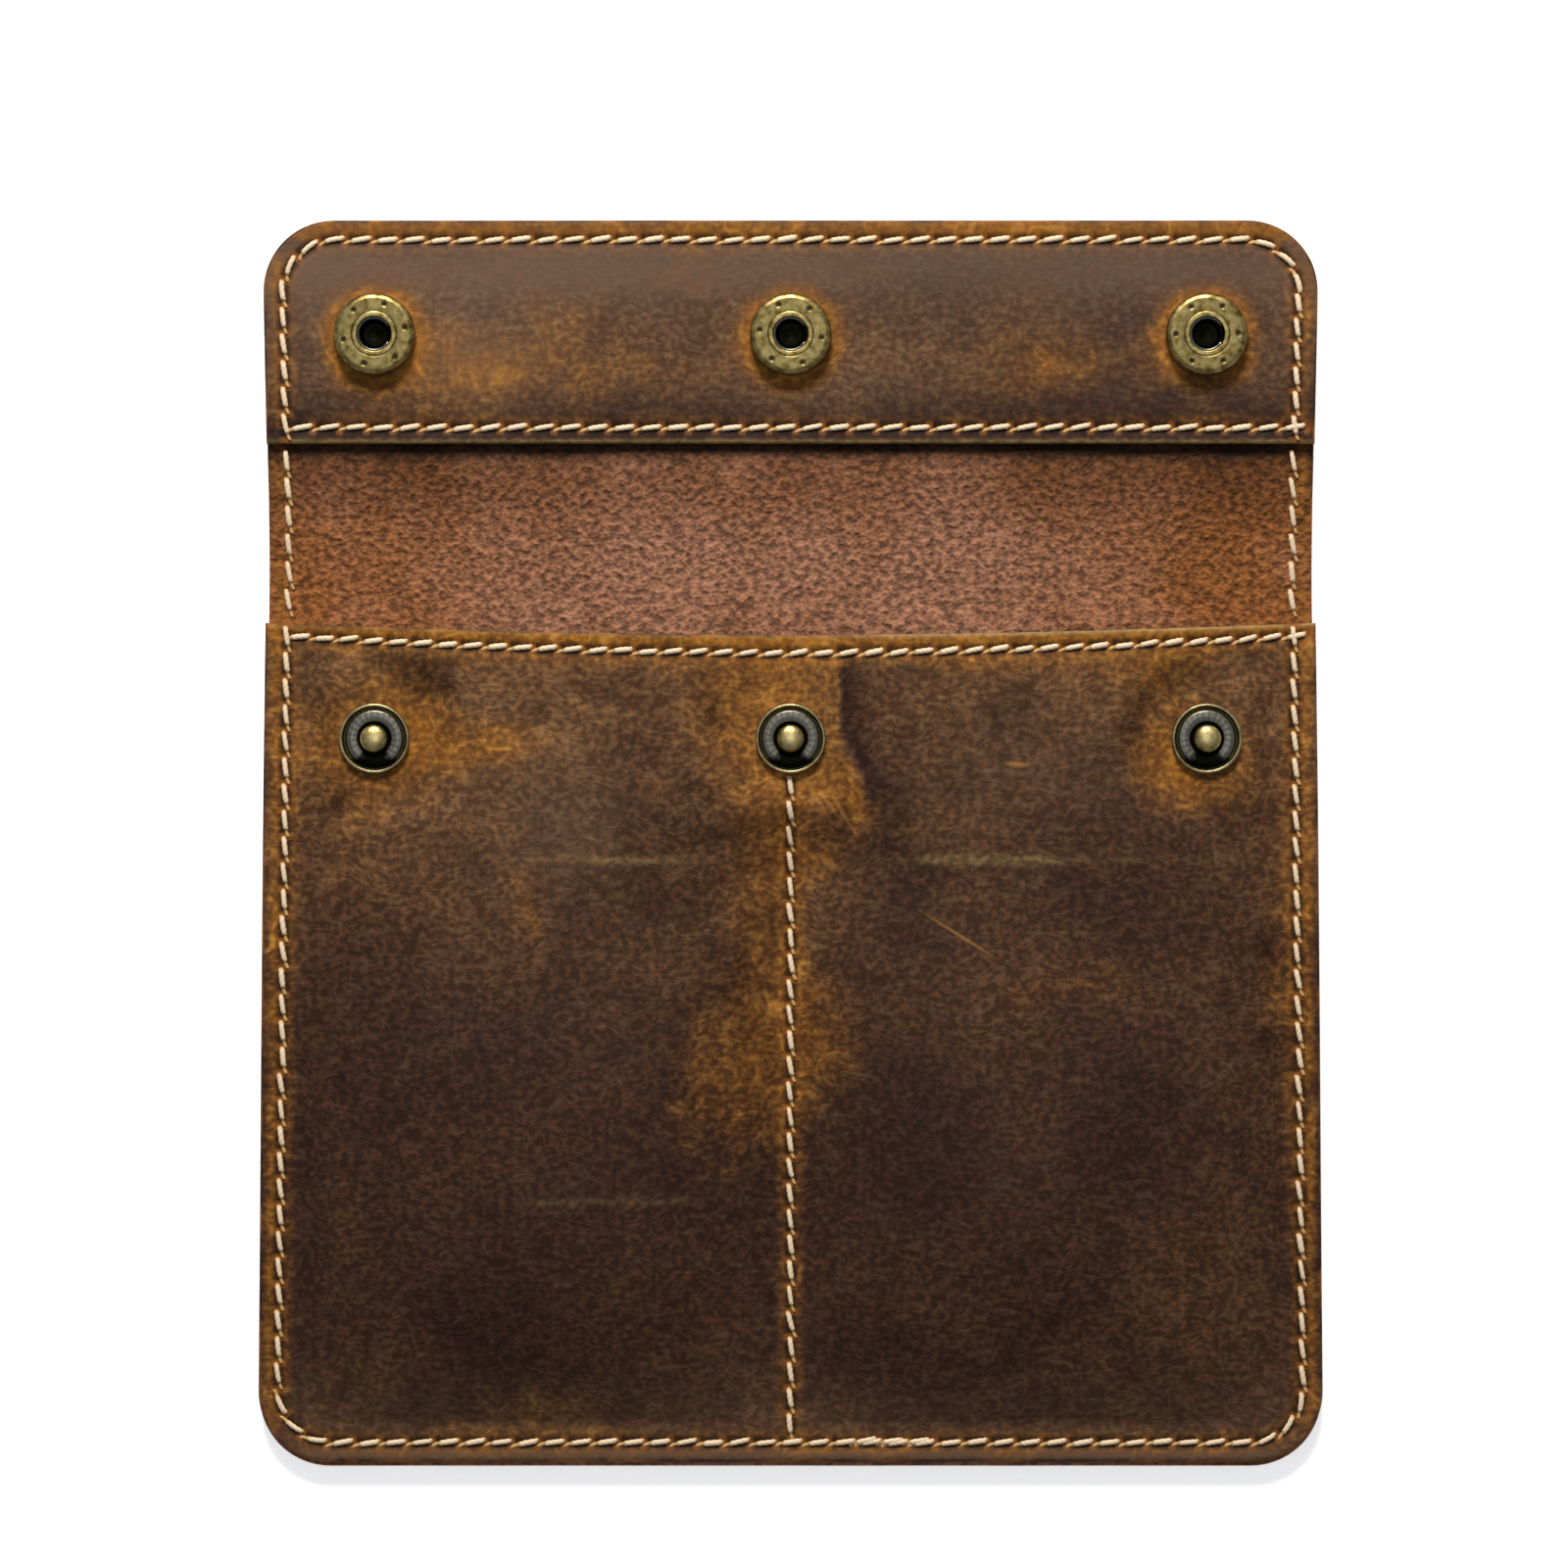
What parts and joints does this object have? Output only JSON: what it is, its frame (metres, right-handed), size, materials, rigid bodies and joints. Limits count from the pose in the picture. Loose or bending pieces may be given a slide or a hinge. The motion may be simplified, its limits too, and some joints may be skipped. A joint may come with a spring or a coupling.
{
  "type": "travel pouch",
  "caption": "Flat leather travel pouch with slip pockets under a fold-over flap, closed by brass snaps, with stitched edges, lying open on its back.",
  "frame": {"origin": "centre of the outline with the flap open, on the back face that lies on the table", "axes": "+X across the pouch to the right, +Y along it towards the free end of the flap, +Z out of the front"},
  "size_m": [0.1624, 0.19, 0.0113],
  "materials": {
    "pull_up_leather": "waxed pull-up leather, dark brown with worn orange-tan high spots",
    "hide_leather": "pebbled reddish brown inner face, waxed brown outside",
    "antique_brass": "antique brass, darkened in the recesses",
    "spring_steel": "bright drawn wire",
    "waxed_thread": "waxed cream thread"
  },
  "bodies": {
    "pouch": {"back_panel": "hide_leather", "front_pocket": "pull_up_leather", "snap_stud_left": "antique_brass", "snap_post_left": "antique_brass", "snap_stud_middle": "antique_brass", "snap_post_middle": "antique_brass", "snap_stud_right": "antique_brass", "snap_post_right": "antique_brass", "pocket_edge_thread": "waxed_thread", "mouth_thread": "waxed_thread", "divider_thread": "waxed_thread", "back_edge_thread_left": "waxed_thread", "back_edge_thread_right": "waxed_thread"},
    "spine": {"spine_strip": "hide_leather", "spine_thread_left": "waxed_thread", "spine_thread_right": "waxed_thread"},
    "flap": {"flap_panel": "hide_leather", "flap_facing": "pull_up_leather", "snap_cap_left": "antique_brass", "snap_socket_left": "antique_brass", "snap_spring_left": "spring_steel", "snap_cap_middle": "antique_brass", "snap_socket_middle": "antique_brass", "snap_spring_middle": "spring_steel", "snap_cap_right": "antique_brass", "snap_socket_right": "antique_brass", "snap_spring_right": "spring_steel", "flap_edge_thread": "waxed_thread", "flap_hem_thread": "waxed_thread", "flap_root_thread_left": "waxed_thread", "flap_root_thread_right": "waxed_thread"}
  },
  "joints": [
    {"name": "spine_fold", "type": "hinge", "parent": "pouch", "child": "spine", "pos_m": [0, 0.0428, 0.0016], "axis": [1, 0, 0], "range_deg": [0, 90]},
    {"name": "flap_fold", "type": "hinge", "parent": "spine", "child": "flap", "pos_m": [0, 0.0526, 0.0034], "axis": [1, 0, 0], "range_deg": [0, 90]}
  ],
  "couplings": [
    {"joint": "flap_fold", "follows": "spine_fold", "ratio": 1}
  ]
}
